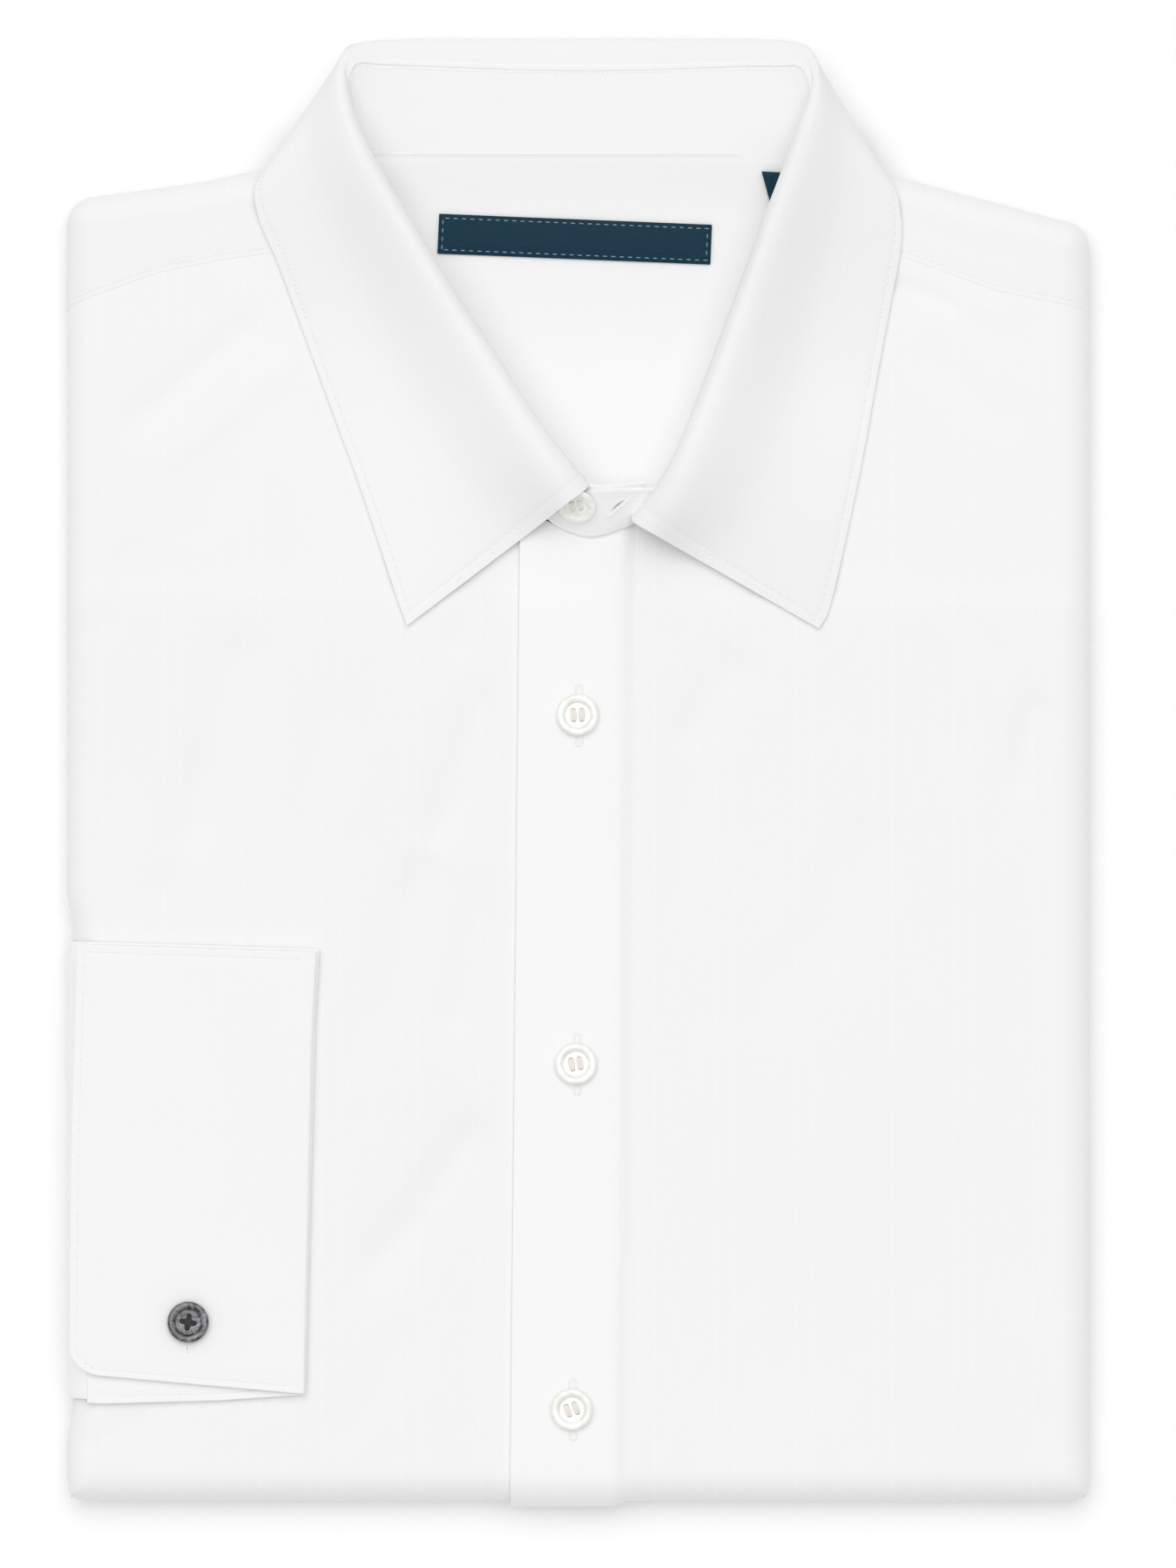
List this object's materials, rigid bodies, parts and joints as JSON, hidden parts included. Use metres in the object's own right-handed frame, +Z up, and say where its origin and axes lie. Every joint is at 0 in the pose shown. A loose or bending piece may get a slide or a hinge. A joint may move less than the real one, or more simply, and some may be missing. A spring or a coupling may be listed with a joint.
{
  "type": "long sleeve dress shirt, folded",
  "caption": "Folded long sleeve dress shirt: turned-down collar, buttoned placket, double cuff folded to the front, flat underside.",
  "frame": {"origin": "middle of the underside: the centre of the bounding box in X and Y, on the surface the folded shirt lies on", "axes": "+X towards the wearer's left side, +Y from the lower fold to the collar, +Z up out of the surface"},
  "size_m": [0.2812, 0.4037, 0.0363],
  "materials": {
    "white_cotton": "white cotton with a fine self-coloured stripe",
    "navy_satin": "woven satin ribbon",
    "pearl_resin": "translucent pearl",
    "smoke_resin": "polished smoke grey"
  },
  "bodies": {
    "root": {"hidden_layers": "white_cotton", "right_front": "white_cotton", "left_front": "white_cotton", "front_placket": "white_cotton", "right_yoke": "white_cotton", "left_yoke": "white_cotton", "inner_back": "white_cotton", "collar_stand": "white_cotton", "collar_leaf": "white_cotton", "sleeve_end": "white_cotton", "cuff_under_half": "white_cotton", "cuff_upper_half": "white_cotton", "neck_label": "navy_satin", "size_tag": "navy_satin", "shirt_button_1": "pearl_resin", "shirt_button_2": "pearl_resin", "shirt_button_3": "pearl_resin", "collar_button": "pearl_resin", "cuff_button": "smoke_resin"}
  },
  "joints": []
}
